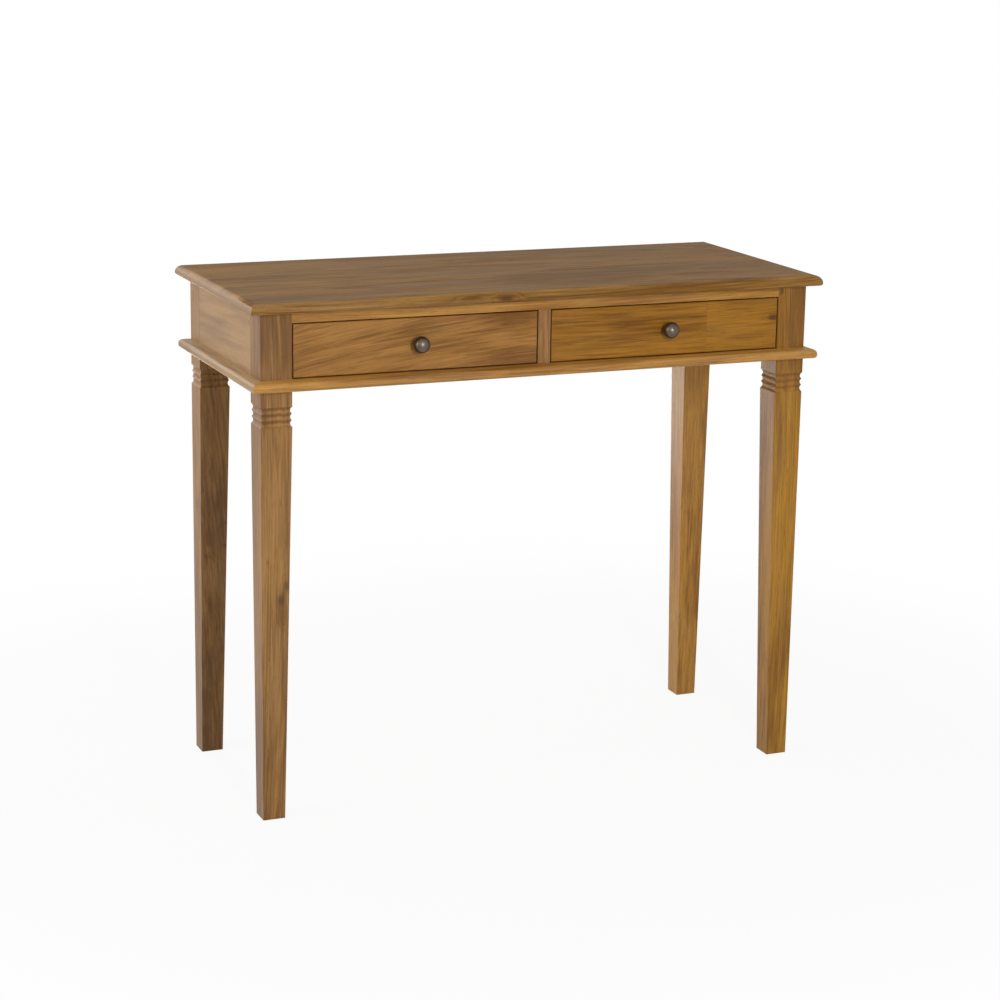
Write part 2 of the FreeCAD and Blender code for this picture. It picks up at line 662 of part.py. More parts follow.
def ball_form():
    """Ball of a knob: a block cut to one outline from many sides, in facets small enough to look round."""
    body = doc.addObject("PartDesign::Body", "ball_form")
    out = "Sizes.knob_diameter"
    square = sketch_on(body, "XY_Plane")
    draw_outline(square, [(f"-{out}", f"-{out}"), (out, f"-{out}"), (out, out), (f"-{out}", out)])
    pad(body, square, "Layout.ball_length")
    rows = count("ball_rows")
    outline = [("Sizes.ball_seat_diameter / 2", "0")]
    for row in range(1, rows + 1):
        angle = f"(Layout.seat_angle + (Layout.tip_angle - Layout.seat_angle) * {row} / {rows})"
        outline.append((
            f"Layout.knob_radius * cos{angle}",
            f"Layout.knob_radius * (sin{angle} - sin(Layout.seat_angle))",
        ))
    outline += [(out, "Layout.ball_length"), (out, "0")]
    waste = sketch_on(body, "XZ_Plane")
    draw_outline(waste, outline)
    side = cut_through(body, waste)
    facets = body.newObject("PartDesign::PolarPattern", "ball_facets")
    facets.Originals = [side]
    facets.Axis = (origin_part(body, "Z_Axis"), [""])
    facets.Angle = 360
    facets.Occurrences = count("ball_sides")
    body.Tip = facets
    doc.recompute()
    return body


def knob(label, centre, form):
    """Metal knob: foot, stem and ball, with a blind screw hole."""
    axis = (centre, "Layout.knob_level")
    foot = rod(f"{label}_foot", "Sizes.knob_foot_diameter / 2", "y", axis,
               ("Layout.knob_foot_front", "Layout.front_plane"))
    stem = rod(f"{label}_stem", "Sizes.knob_stem_diameter / 2", "y", axis,
               ("Layout.ball_back", "Layout.knob_foot_front"))
    ball = doc.addObject("Part::Compound", f"{label}_ball")
    ball.Links = [form]
    ball.Placement.Rotation = FreeCAD.Rotation(FreeCAD.Vector(1, 0, 0), 90)
    place(ball, centre, "Layout.ball_back", "Layout.knob_level")
    blank = join(f"{label}_blank", [foot, stem, ball])
    bore = rod(f"{label}_bore", "Layout.bore_radius", "y", axis,
               ("Layout.front_plane - Sizes.knob_bore_depth", "Layout.front_plane"))
    keep(carve(label, blank, [bore]), label)


def drawer(side, knob_form):
    """One drawer: dovetailed box, bottom panel in grooves, knob and its screw."""
    name = f"{side}_drawer"
    centre = "-Layout.drawer_centre" if side == "left" else "Layout.drawer_centre"
    inner = around(centre, "2 * Layout.inner_half_width")

    bottom_across = widened(inner, "Sizes.groove_depth")
    bottom_depth = ("Layout.front_inside - Sizes.groove_depth", "Layout.back_rear")
    bottom_height = ("Layout.bottom_under", "Layout.bottom_over")
    groove_limits = [widened(pair, "Sizes.groove_play")
                     for pair in (bottom_across, bottom_depth, bottom_height)]
    back_limits = (
        widened(inner, "Sizes.back_dado"),
        ("Layout.back_front", "Layout.back_rear"),
        ("Layout.bottom_over", "Layout.side_bottom + Layout.side_height - Sizes.side_top_drop"),
    )

    blanks = []
    for hand, x in (("left", f"{centre} - Layout.front_width / 2"), ("right", inner[1])):
        blank = drawer_side_blank(f"{name}_{hand}_side_blank")
        place(blank, x, "Layout.front_inside", "Layout.side_bottom")
        blanks.append(blank)
        groove = board(f"{name}_{hand}_groove", *groove_limits)
        dado = board(f"{name}_{hand}_dado", *back_limits)
        label = f"{name}_{hand}_side"
        keep(carve(label, blank, [groove, dado]), label)

    screw_axis = (centre, "Layout.knob_level")
    knob_tip = "Layout.front_plane - Sizes.knob_screw_reach"
    front = drawer_front_blank(f"{name}_front_blank", centre)
    groove = board(f"{name}_front_groove", *groove_limits)
    bore = rod(f"{name}_knob_bore", "Layout.bore_radius", "y", screw_axis,
               ("Layout.front_plane", "Layout.front_inside"))
    keep(carve(f"{name}_front", front, blanks + [groove, bore]), f"{name}_front")
    knob(f"{name}_knob", centre, knob_form)
    shank = rod(f"{name}_knob_screw_shank", "Layout.screw_radius", "y", screw_axis,
                (knob_tip, "Layout.front_inside"))
    head = rod(f"{name}_knob_screw_head", "Layout.screw_head_radius", "y", screw_axis,
               ("Layout.front_inside", "Layout.front_inside + Sizes.screw_head_height"))
    keep(join(f"{name}_knob_screw", [shank, head]), f"{name}_knob_screw")

    keep(board(f"{name}_bottom", bottom_across, bottom_depth, bottom_height), f"{name}_bottom")
    keep(board(f"{name}_back", *back_limits), f"{name}_back")


def check_document():
    """Stop if anything in the document failed, before any file is written."""
    doc.recompute()
    for item in doc.Objects:
        if "Invalid" in item.State or "Error" in item.State:
            raise RuntimeError(f"{item.Label} failed: {item.State}")
    for piece in nodes:
        if piece.Shape.isNull() or not piece.Shape.isValid() or not piece.Shape.Solids:
            raise RuntimeError(f"{piece.Label} has no sound solid")


legs()
aprons()
screw_holes = top_screws()
front_frame()
drawer_ways(screw_holes)
drawer_stops()
mouldings()
top_boards(screw_holes)
knob_ball = ball_form()
for drawer_side in ("left", "right"):
    drawer(drawer_side, knob_ball)
check_document()

os.makedirs("parts", exist_ok=True)
for node in nodes:
    node.Shape.exportStep(f"parts/{node.Label}.step")
    print(f"{node.Label}: {len(node.Shape.Solids)} solid(s), {node.Shape.Volume / 1000:.1f} cm3")
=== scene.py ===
"""Looks of a teak writing desk with two drawers: eased and waxed wood, pewter knobs, steel screws."""

import json
import math
from collections import namedtuple

import bmesh
import bpy
from mathutils import Euler, Matrix, Vector

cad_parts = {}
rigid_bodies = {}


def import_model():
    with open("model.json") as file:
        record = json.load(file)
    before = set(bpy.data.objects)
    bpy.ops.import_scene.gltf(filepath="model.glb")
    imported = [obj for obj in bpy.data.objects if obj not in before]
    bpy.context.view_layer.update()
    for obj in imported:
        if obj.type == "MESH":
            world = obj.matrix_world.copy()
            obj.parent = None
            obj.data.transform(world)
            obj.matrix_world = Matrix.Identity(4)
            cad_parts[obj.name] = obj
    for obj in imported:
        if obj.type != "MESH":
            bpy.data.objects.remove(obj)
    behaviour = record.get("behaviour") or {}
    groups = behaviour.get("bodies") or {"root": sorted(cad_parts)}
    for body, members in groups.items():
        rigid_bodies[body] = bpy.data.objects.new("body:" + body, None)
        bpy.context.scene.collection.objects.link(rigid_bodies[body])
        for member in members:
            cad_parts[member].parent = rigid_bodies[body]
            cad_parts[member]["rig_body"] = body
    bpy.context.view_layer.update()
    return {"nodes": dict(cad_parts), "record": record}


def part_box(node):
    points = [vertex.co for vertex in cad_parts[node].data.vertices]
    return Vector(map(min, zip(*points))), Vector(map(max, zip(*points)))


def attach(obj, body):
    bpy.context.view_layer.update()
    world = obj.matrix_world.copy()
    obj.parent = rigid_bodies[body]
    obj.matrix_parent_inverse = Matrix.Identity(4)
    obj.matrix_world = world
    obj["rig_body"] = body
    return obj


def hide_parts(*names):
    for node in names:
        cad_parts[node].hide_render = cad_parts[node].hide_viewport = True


bl_info = {
    "name": "Writing Desk",
    "version": (1, 0, 0),
    "blender": (4, 5, 0),
    "location": "3D View > Sidebar > Desk",
    "description": "Dresses the frame of a two-drawer teak writing desk for a studio picture",
    "category": "Object",
}

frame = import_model()
MM = 0.001
BODY_OF = {node: piece["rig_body"] for node, piece in frame["nodes"].items()}
SLOT_OF = {part["node"]: part["material_slot"] for part in frame["record"]["subparts"]}
SIDES = ("left", "right")


def linear(hex_colour):
    """Linear RGBA of an sRGB hex colour."""
    channels = [int(hex_colour[start:start + 2], 16) / 255 for start in (1, 3, 5)]
    bent = [c / 12.92 if c <= 0.04045 else ((c + 0.055) / 1.055) ** 2.4 for c in channels]
    return (*bent, 1.0)


def colour(name, description, hex_colour):
    """Colour property of the desk, given as an sRGB hex value."""
    return bpy.props.FloatVectorProperty(
        name=name, description=description, subtype="COLOR", size=4, min=0, max=1,
        default=linear(hex_colour))


def length(name, description, millimetres):
    """Length property of the desk, given in millimetres."""
    return bpy.props.FloatProperty(
        name=name, description=description, subtype="DISTANCE", unit="LENGTH", min=0,
        default=millimetres * MM)


def angle(name, description, degrees):
    """Angle property of the camera, given in degrees."""
    return bpy.props.FloatProperty(
        name=name, description=description, subtype="ANGLE", default=math.radians(degrees))


def power(name, description, watts):
    """Power property of a soft box, given in watts."""
    return bpy.props.FloatProperty(name=name, description=description, unit="POWER", default=watts)


class DeskSizes(bpy.types.PropertyGroup):
    """Small sizes that the finish adds to the frame."""

    ease: length("Eased edge", "Round sanded on the sharp edges of the legs", 0.9)
    joint_ease: length("Eased joint", "Round on the edges of the aprons, rails and divider", 0.6)
    inner_ease: length("Inner eased edge", "Round on the edges of the drawer boxes and drawer ways", 0.5)
    knob_foot: length("Knob foot", "Width of the knob's foot on the drawer front", 12)
    knob_foot_height: length("Knob foot height", "How far the foot stands off the drawer front", 2.5)
    knob_stem: length("Knob stem", "Width of the stem behind the knob's ball", 9)
    knob_fillet: length("Knob fillet", "Round where the stem meets the foot, and at the foot's edge", 0.8)


class DeskColours(bpy.types.PropertyGroup):
    """Mean colours of the desk's woods, and the colours of its metals."""

    front_left_leg: colour("Front left leg", "Mean colour of its wood", "#8C632F")
    front_right_leg: colour("Front right leg", "Mean colour of its wood", "#9A6A1C")
    rear_left_leg: colour("Rear left leg", "Mean colour of its wood", "#8C6330")
    rear_right_leg: colour("Rear right leg", "Mean colour of its wood", "#A06F29")
    aprons: colour("Aprons", "Mean colour of the side and back aprons", "#99713B")
    rails: colour("Rails", "Mean colour of the rails over and under the drawers", "#A5732E")
    divider: colour("Divider", "Mean colour of the upright between the drawers", "#8B6031")
    mouldings: colour("Mouldings", "Mean colour of the strips round the skirt", "#A97733")
    # Painted sheen: the left moulding is paler and greyer than the other mouldings, standing in for the
    # sheen of the light from the left.
    left_moulding: colour("Left moulding", "Mean colour of the paler strip at the left end", "#9C7A4C")
    top: colour("Top", "Mean colour of the top boards", "#835F31")
    left_drawer: colour("Left drawer", "Mean colour of the left drawer front", "#92642C")
    right_drawer: colour("Right drawer", "Mean colour of the right drawer front", "#8E5E16")
    inside: colour("Inside wood", "Mean colour of the unfinished wood inside", "#AE8B5C")
    plywood: colour("Plywood", "Mean colour of the drawer bottoms", "#BC9A68")
    streak: colour("Mineral streak", "Dark lines, pores and knots in the wood", "#3C2413")
    pewter: colour("Pewter", "Rubbed high parts of the knobs", "#7B6F63")
    tarnish: colour("Tarnish", "Tarnished parts of the knobs", "#433A31")
    steel: colour("Steel", "Zinc-plated screws", "#A9ABAD")


class DeskStage(bpy.types.PropertyGroup):
    """Camera and light of the studio picture."""

    camera_place: bpy.props.FloatVectorProperty(
        name="Camera place", description="Where the camera stands", subtype="TRANSLATION", unit="LENGTH",
        default=(-1.50658, -3.58295, 1.37860))
    azimuth: angle("Azimuth", "Camera round the desk from its front", -22.888)
    elevation: angle("Elevation", "Camera above the horizon", 13.9165)
    roll: angle("Roll", "Camera turned about its own axis", 0.9443)
    lens: bpy.props.FloatProperty(
        name="Lens", description="Focal length on a 36 mm sensor", subtype="DISTANCE_CAMERA",
        unit="CAMERA", default=91.467)
    front_power: power("Front box", "Power of the upright soft box in front", 50)
    left_power: power("Left box", "Power of the broad soft box on the left", 34)
    rim_power: power("Rim box", "Power of the high soft box behind on the left", 8)
    sheen_power: power("Sheen box", "Power of the low soft box behind the desk", 5)
    horizon: bpy.props.FloatProperty(
        name="Horizon", description="Light of the room at the height of the desk", default=0.20)
    ceiling: bpy.props.FloatProperty(
        name="Ceiling", description="Light of the room from straight above", default=0.63)


# A board's place in the log it was sawn from. grain is the axis along the fibres, pith the distance in
# millimetres from the board's middle to the heart of the log, tilt how far in degrees the board was sawn
# off the log's axis, ring the width of a year's growth and wander how far the rings stray, in millimetres,
# and bow how far the log bends, in degrees per metre.
Log = namedtuple("Log", "grain pith tilt ring wander bow", defaults=(12.0, 5.0))

# A mark in the wood, or a patch of painted shade or painted sheen: its place on the desk and its reach
# across the grain in millimetres, how many times longer it is along the grain, how many rings it pushes
# aside, how far it darkens the wood round it (a negative tone brightens), and how dark its core is.
Mark = namedtuple("Mark", "place reach stretch swell tone core", defaults=(0.0, 0.0, 0.0))

# A board: its log, its mean colour, its marks, and where along X in millimetres a second length of
# wood is glued on, if any.
Board = namedtuple("Board", "log tone marks splice", defaults=((), None))

# A finish: how strongly rings, ashen patches, dark streaks, fibres and pores show, the width of the fine
# streaks in millimetres, the roughness of level faces, which use has dulled, and of all other faces, which
# hands have rubbed, the specular level of the wax, and how many times more saturated the edges are than
# the level face. The square of that is how many times lighter they are.
Finish = namedtuple(
    "Finish", "name rings patches streaks fibres pores fine worn rubbed specular deep", defaults=(1.0,))
WAXED = Finish(
    "waxed_teak", rings=0.50, patches=0.20, streaks=0.28, fibres=0.22, pores=0.40, fine=4.5,
    worn=0.50, rubbed=0.42, specular=0.36)
WAXED_DRAWER = Finish(
    "waxed_teak", rings=0.80, patches=0.20, streaks=0.30, fibres=0.22, pores=0.30, fine=4.0,
    worn=0.50, rubbed=0.46, specular=0.25)
QUIET_DRAWER = WAXED_DRAWER._replace(rings=0.45, streaks=0.15, fibres=0.28)
WAXED_APRON = Finish(
    "waxed_teak", rings=0.12, patches=0.35, streaks=0.05, fibres=0.14, pores=0.30, fine=15.0,
    worn=0.50, rubbed=0.42, specular=0.40)
WAXED_TOP = Finish(
    "waxed_teak", rings=1.00, patches=0.60, streaks=0.60, fibres=0.30, pores=0.50, fine=4.5,
    worn=0.74, rubbed=0.42, specular=0.25, deep=1.09)
PLANED = Finish(
    "planed_teak", rings=0.45, patches=0.30, streaks=0.15, fibres=0.10, pores=0.40, fine=7.0,
    worn=0.75, rubbed=0.75, specular=0.15)
PLYWOOD = Finish(
    "sanded_plywood", rings=0.30, patches=0.20, streaks=0.05, fibres=0.08, pores=0.20, fine=7.0,
    worn=0.75, rubbed=0.75, specular=0.15)

# Shares of a board's mean colour in pale early wood and in dark late wood, channel by channel, and how far
# ashen patches and end grain are drawn to grey.
EARLY_WOOD = (1.20, 1.27, 1.50)
LATE_WOOD = (0.62, 0.55, 0.42)
ASHEN = 0.30

# Share of late wood through a year's growth. Few rings are strong, and the weakest shows by a share of the
# strongest.
LATE_SHARES = ((0.0, 0.10), (0.25, 0.0), (0.60, 0.35), (0.84, 1.0), (0.93, 0.85), (1.0, 0.10))
FEW_STRONG = 1.6
WEAKEST_RING = 0.15

# Good and bad years: how many rings long a spell is, the range of its noise, and the rings it may add.
SPELL_RINGS = 4
SPELL_NOISE = (0.2, 0.8)
SPELL_GROWTH = 5

# Noises of the wood: size across the grain in millimetres, how many times longer it is along the grain,
# and its octaves of detail. The size of the fine streaks comes with the finish.
WANDER = (80, 5, 2)
BROAD_BANDS = (60, 6, 3)
FINE_STREAKS = (24, 3)
ASH_CLOUDS = (38, 7, 2)
MINERAL_LINES = (9, 34, 3)
FIBRES = (1.8, 50, 3)
PORES = (1.1, 14, 2)
NOISE_ROUGHNESS = 0.55

# How far the broad bands and the fine streaks move the wood from early to late, and how far the fibres move
# its roughness.
BAND_SHIFT = (-0.35, 0.75)
STREAK_SHIFT = (-0.50, 0.50)
FIBRE_SHIFT = (-0.06, 0.06)

# Range that holds most of a noise, and the parts of it over which patches, streaks and pores come up.
NOISE = (0.3, 0.7)
ASH_RISE = (0.46, 0.68)
STREAK_RISE = (0.60, 0.76)
PORE_RISE = (0.58, 0.72)

# How far a normal points up where a face turns level, and how far it lies along the grain where end grain
# comes up, with the share of it that shows.
LEVEL = (0.90, 0.985)
END_GRAIN = (0.70, 0.95)
END_GRAIN_SHARE = 0.8

# Refraction of wax, and the strength and the height in millimetres of the relief of fibres and pores.
WAX_IOR = 1.45
RELIEF = 0.25
RELIEF_HEIGHT = 0.15

# Where a mark's effect on the wood round it ends, and the edge and the full depth of its core, in reaches.
MARK_EDGE = 2.2
CORE_EDGE = 1.0
CORE_DEPTH = 0.3

# The wood past a splice: how far off it grew in metres, its tone, and the half width in millimetres and
# the darkness of the glue line before it.
OTHER_LOG = (0.021, 0.017, 0.370)
OTHER_TONE = -0.14
GLUE_WIDTH = 0.7
GLUE_DARK = 0.16

# Heights of the coves of the legs, where shade is painted in as a dark band, Y of the front faces of the
# posts and drawers, and Z of the face of the top, in millimetres.
COVES = (604.0, 613.6, 623.2)
FRONT = -173.7
TOP = 780

# Sizes in millimetres of the knobs' clouds of tarnish and casting grain, and of the mottle of the screws'
# plating. Roughness of tarnished and rubbed pewter, and of bright and dull plating.
TARNISH_CLOUDS = 6
CASTING_GRAIN = 0.8
PLATING_MOTTLE = 1.5
PEWTER_ROUGHNESS = (0.44, 0.31)
PLATING_ROUGHNESS = (0.25, 0.5)


def add(tree, kind, inputs=None, stops=None, **settings):
    """Add a node with its settings. An input is a value, or the socket of another node to link."""
    node = tree.nodes.new(kind)
    for name, setting in settings.items():
        setattr(node, name, setting)
    for socket, source in (inputs or {}).items():
        if isinstance(source, bpy.types.NodeSocket):
            tree.links.new(source, node.inputs[socket])
        else:
            node.inputs[socket].default_value = source
    if stops:
        marks = node.color_ramp.elements
        while len(marks) < len(stops):
            marks.new(1.0)
        for mark, (position, shade) in zip(marks, stops):
            mark.position = position
            mark.color = (shade, shade, shade, 1.0)
    return node


def new_material(name):
    """Empty node material, with its tree and its surface output."""
    material = bpy.data.materials.new(name)
    material.use_nodes = True
    material.node_tree.nodes.clear()
    output = add(material.node_tree, "ShaderNodeOutputMaterial")
    return material, material.node_tree, output


def tinted(tone, shares):
    """Colour with each channel taken to a share of itself."""
    return (*(channel * share for channel, share in zip(tone, shares)), 1.0)


def greyed(tone, share):
    """Colour drawn part of the way to the grey of the same lightness."""
    grey = 0.2126 * tone[0] + 0.7152 * tone[1] + 0.0722 * tone[2]
    return (*(channel + (grey - channel) * share for channel in tone[:3]), 1.0)


AXES = {"x": Vector((1, 0, 0)), "y": Vector((0, 1, 0)), "z": Vector((0, 0, 1))}


def log_frame(centre, log, seed):
    """Place and turn that carry a board into its log, with the heart along Z."""
    along = AXES[log.grain].rotation_difference(AXES["z"]).to_matrix()
    tilt = Euler((math.radians(log.tilt[0]), math.radians(log.tilt[1]), 0)).to_matrix()
    turn = tilt @ along
    heart = Vector((log.pith[0] * MM, log.pith[1] * MM, seed))
    return heart - turn @ centre, turn


def teak(name, centre, board, finish, seed, streak):
    """Teak, sanded and waxed: growth rings cut at a slant, long fibres, dark pores and a satin sheen.

    Late wood is darker than early wood, and the rings differ in width and strength, so a face shows soft
    arches and stripes of uneven contrast, with ashen patches drawn out along the grain. Round a mark the
    rings bend aside. Pores are short dark dashes along the grain. They are a third of a millimetre wide,
    and are drawn about three times as coarse to show. End grain is even. Hands have rubbed the wax smooth.
    """
    material, tree, output = new_material(name)
    log, tone = board.log, board.tone
    place, turn = log_frame(centre, log, seed)
    coordinates = add(tree, "ShaderNodeTexCoord")
    wood = add(tree, "ShaderNodeMapping", {
        "Vector": coordinates.outputs["Object"], "Location": place,
        "Rotation": turn.to_euler()}).outputs[0]
    along = add(tree, "ShaderNodeSeparateXYZ", {0: wood}).outputs["Z"]
    from_middle = add(tree, "ShaderNodeMath", {0: along, 1: seed}, operation="SUBTRACT").outputs[0]
    squared = add(tree, "ShaderNodeMath", {
        0: from_middle, 1: from_middle}, operation="MULTIPLY").outputs[0]
    bend = Vector((math.radians(log.bow) / 2, 0, 0))
    wood = add(tree, "ShaderNodeVectorMath", {
        0: squared, 1: bend, 2: wood}, operation="MULTIPLY_ADD").outputs[0]
    tones = []
    cores = []
    if board.splice is not None:
        across = add(tree, "ShaderNodeSeparateXYZ", {0: coordinates.outputs["Object"]}).outputs["X"]
        past = add(tree, "ShaderNodeMath", {0: across, 1: board.splice * MM}, operation="GREATER_THAN")
        wood = add(tree, "ShaderNodeVectorMath", {
            0: past.outputs[0], 1: OTHER_LOG, 2: wood}, operation="MULTIPLY_ADD").outputs[0]
        paler = add(tree, "ShaderNodeMath", {0: past.outputs[0], 1: OTHER_TONE}, operation="MULTIPLY")
        tones.append(paler.outputs[0])
        glue = add(tree, "ShaderNodeMath", {
            0: across, 1: board.splice * MM, 2: GLUE_WIDTH * MM}, operation="COMPARE")
        line = add(tree, "ShaderNodeMath", {0: glue.outputs[0], 1: GLUE_DARK}, operation="MULTIPLY")
        cores.append(line.outputs[0])

    def drawn_noise(size_mm, stretch, detail):
        """Noise of a size across the grain, drawn out along it."""
        drawn = add(tree, "ShaderNodeVectorMath", {0: wood, 1: (1, 1, 1 / stretch)}, operation="MULTIPLY")
        return add(tree, "ShaderNodeTexNoise", {
            "Vector": drawn.outputs[0], "Scale": 1 / (size_mm * MM), "Detail": detail,
            "Roughness": NOISE_ROUGHNESS})

    def between(source, low, high, least, most):
        """Value brought from one range to another, and held there."""
        return add(tree, "ShaderNodeMapRange", {
            "Value": source, "From Min": low, "From Max": high,
            "To Min": least, "To Max": most}).outputs[0]

    def total(terms):
        """Sum of some values."""
        result = terms[0]
        for term in terms[1:]:
            result = add(tree, "ShaderNodeMath", {0: result, 1: term}, operation="ADD").outputs[0]
        return result

    stray = log.wander * MM
    wander = drawn_noise(*WANDER)
    strayed = add(tree, "ShaderNodeVectorMath", {
        0: wander.outputs["Color"], 1: (stray, stray, 0), 2: wood}, operation="MULTIPLY_ADD").outputs[0]
    across_log = add(tree, "ShaderNodeVectorMath", {0: strayed, 1: (1, 1, 0)}, operation="MULTIPLY")
    radius = add(tree, "ShaderNodeVectorMath", {
        0: across_log.outputs[0]}, operation="LENGTH").outputs["Value"]
    even = add(tree, "ShaderNodeMath", {0: radius, 1: log.ring * MM}, operation="DIVIDE").outputs[0]
    climate = add(tree, "ShaderNodeTexNoise", {
        "W": radius, "Scale": 1 / (SPELL_RINGS * log.ring * MM), "Detail": 2}, noise_dimensions="1D")
    growth = between(climate.outputs[0], *SPELL_NOISE, 0, SPELL_GROWTH)
    years = [even, growth]

    for mark in board.marks:
        reach = mark.reach * MM
        scale = Vector((1 / reach, 1 / reach, 1 / (reach * mark.stretch)))
        spot = place + turn @ (Vector(mark.place) * MM)
        spot += bend * (spot.z - seed) ** 2 + Vector((stray / 2, stray / 2, 0))
        if board.splice is not None and mark.place[0] > board.splice:
            spot += Vector(OTHER_LOG)
        away = add(tree, "ShaderNodeMapping", {
            "Vector": strayed, "Location": -scale * spot, "Scale": scale})
        far = add(tree, "ShaderNodeVectorMath", {0: away.outputs[0]}, operation="LENGTH").outputs["Value"]
        close = add(tree, "ShaderNodeMapRange", {
            "Value": far, "From Min": MARK_EDGE, "From Max": 0},
            interpolation_type="SMOOTHERSTEP").outputs[0]
        for strength, gathered in ((mark.swell, years), (mark.tone, tones)):
            if strength:
                part = add(tree, "ShaderNodeMath", {0: close, 1: strength}, operation="MULTIPLY")
                gathered.append(part.outputs[0])
        if mark.core:
            cores.append(between(far, CORE_EDGE, CORE_DEPTH, 0, mark.core))

    age = total(years)
    year = add(tree, "ShaderNodeMath", {0: age}, operation="FLOOR")
    season = add(tree, "ShaderNodeMath", {0: age}, operation="FRACT")
    chance = add(tree, "ShaderNodeTexWhiteNoise", {"W": year.outputs[0]}, noise_dimensions="1D")
    vigour = add(tree, "ShaderNodeMath", {0: chance.outputs["Value"], 1: FEW_STRONG}, operation="POWER")
    late = add(tree, "ShaderNodeValToRGB", {0: season.outputs[0]}, stops=LATE_SHARES)
    contrast = between(vigour.outputs[0], 0, 1, WEAKEST_RING * finish.rings, finish.rings)
    ring = add(tree, "ShaderNodeMath", {0: late.outputs["Color"], 1: contrast}, operation="MULTIPLY")

    broad = drawn_noise(*BROAD_BANDS)
    fine = drawn_noise(finish.fine, *FINE_STREAKS)
    shade = total([
        ring.outputs[0], between(broad.outputs[0], *NOISE, *BAND_SHIFT),
        between(fine.outputs[0], *NOISE, *STREAK_SHIFT), *tones])
    grown = add(tree, "ShaderNodeMix", {
        0: shade, 6: tinted(tone, EARLY_WOOD), 7: tinted(tone, LATE_WOOD)}, data_type="RGBA")
    cloud = drawn_noise(*ASH_CLOUDS)
    ash = between(cloud.outputs[0], *ASH_RISE, 0, finish.patches)
    clouded = add(tree, "ShaderNodeMix", {
        0: ash, 6: grown.outputs[2], 7: greyed(tone, ASHEN)}, data_type="RGBA")

    fibre = drawn_noise(*FIBRES)
    lit = between(fibre.outputs[0], *NOISE, 1 - finish.fibres, 1 + finish.fibres)
    fibrous = add(tree, "ShaderNodeVectorMath", {0: clouded.outputs[2], 1: lit}, operation="MULTIPLY")

    mineral = drawn_noise(*MINERAL_LINES)
    vein = between(mineral.outputs[0], *STREAK_RISE, 0, finish.streaks)
    pore = drawn_noise(*PORES)
    pit = between(pore.outputs[0], *PORE_RISE, 0, finish.pores)
    darkest = vein
    for dark in (pit, *cores):
        darkest = add(tree, "ShaderNodeMath", {0: darkest, 1: dark}, operation="MAXIMUM").outputs[0]
    pitted = add(tree, "ShaderNodeMix", {0: darkest, 6: fibrous.outputs[0], 7: streak}, data_type="RGBA")
    facing = add(tree, "ShaderNodeVectorMath", {
        0: coordinates.outputs["Normal"], 1: AXES[log.grain]}, operation="DOT_PRODUCT")
    square_on = add(tree, "ShaderNodeMath", {0: facing.outputs["Value"]}, operation="ABSOLUTE")
    end_grain = between(square_on.outputs[0], *END_GRAIN, 0, END_GRAIN_SHARE)
    ended = add(tree, "ShaderNodeMix", {
        0: end_grain, 6: pitted.outputs[2], 7: greyed(tinted(tone, EARLY_WOOD), ASHEN)}, data_type="RGBA")

    upward = add(tree, "ShaderNodeSeparateXYZ", {0: coordinates.outputs["Normal"]}).outputs["Z"]
    depth = between(upward, *LEVEL, finish.deep, 1)
    lifted = between(upward, *LEVEL, finish.deep ** 2, 1)
    deepened = add(tree, "ShaderNodeHueSaturation", {
        "Color": ended.outputs[2], "Saturation": depth, "Value": lifted})
    wear = between(upward, *LEVEL, finish.rubbed, finish.worn)
    sheen = total([wear, between(fibre.outputs[0], *NOISE, *FIBRE_SHIFT)])
    relief = add(tree, "ShaderNodeMath", {0: fibre.outputs[0], 1: pit}, operation="SUBTRACT")
    bump = add(tree, "ShaderNodeBump", {
        "Height": relief.outputs[0], "Strength": RELIEF, "Distance": RELIEF_HEIGHT * MM})
    waxed = add(tree, "ShaderNodeBsdfPrincipled", {
        "Base Color": deepened.outputs[0], "Roughness": sheen, "Normal": bump.outputs[0],
        "IOR": WAX_IOR, "Specular IOR Level": finish.specular})
    tree.links.new(waxed.outputs[0], output.inputs["Surface"])
    return material


def pewter(name, bright, dark):
    """Cast pewter, rubbed and darkened: a soft metal gleam with cloudy tarnish and faint casting grain."""
    material, tree, output = new_material(name)
    object_space = add(tree, "ShaderNodeTexCoord").outputs["Object"]
    cloud = add(tree, "ShaderNodeTexNoise", {
        "Vector": object_space, "Scale": 1 / (TARNISH_CLOUDS * MM), "Detail": 4, "Roughness": 0.6})
    patina = add(tree, "ShaderNodeMapRange", {"Value": cloud.outputs[0], "From Min": 0.1, "From Max": 0.9})
    tarnished = add(tree, "ShaderNodeMix", {0: patina.outputs[0], 6: dark, 7: bright}, data_type="RGBA")
    rubbed = add(tree, "ShaderNodeMapRange", {
        "Value": patina.outputs[0], "To Min": PEWTER_ROUGHNESS[0], "To Max": PEWTER_ROUGHNESS[1]})
    grain = add(tree, "ShaderNodeTexNoise", {
        "Vector": object_space, "Scale": 1 / (CASTING_GRAIN * MM), "Detail": 2})
    bump = add(tree, "ShaderNodeBump", {"Height": grain.outputs[0], "Strength": 0.2, "Distance": 0.1 * MM})
    metal = add(tree, "ShaderNodeBsdfPrincipled", {
        "Base Color": tarnished.outputs[2], "Roughness": rubbed.outputs[0], "Normal": bump.outputs[0],
        "Metallic": 1.0})
    tree.links.new(metal.outputs[0], output.inputs["Surface"])
    return material


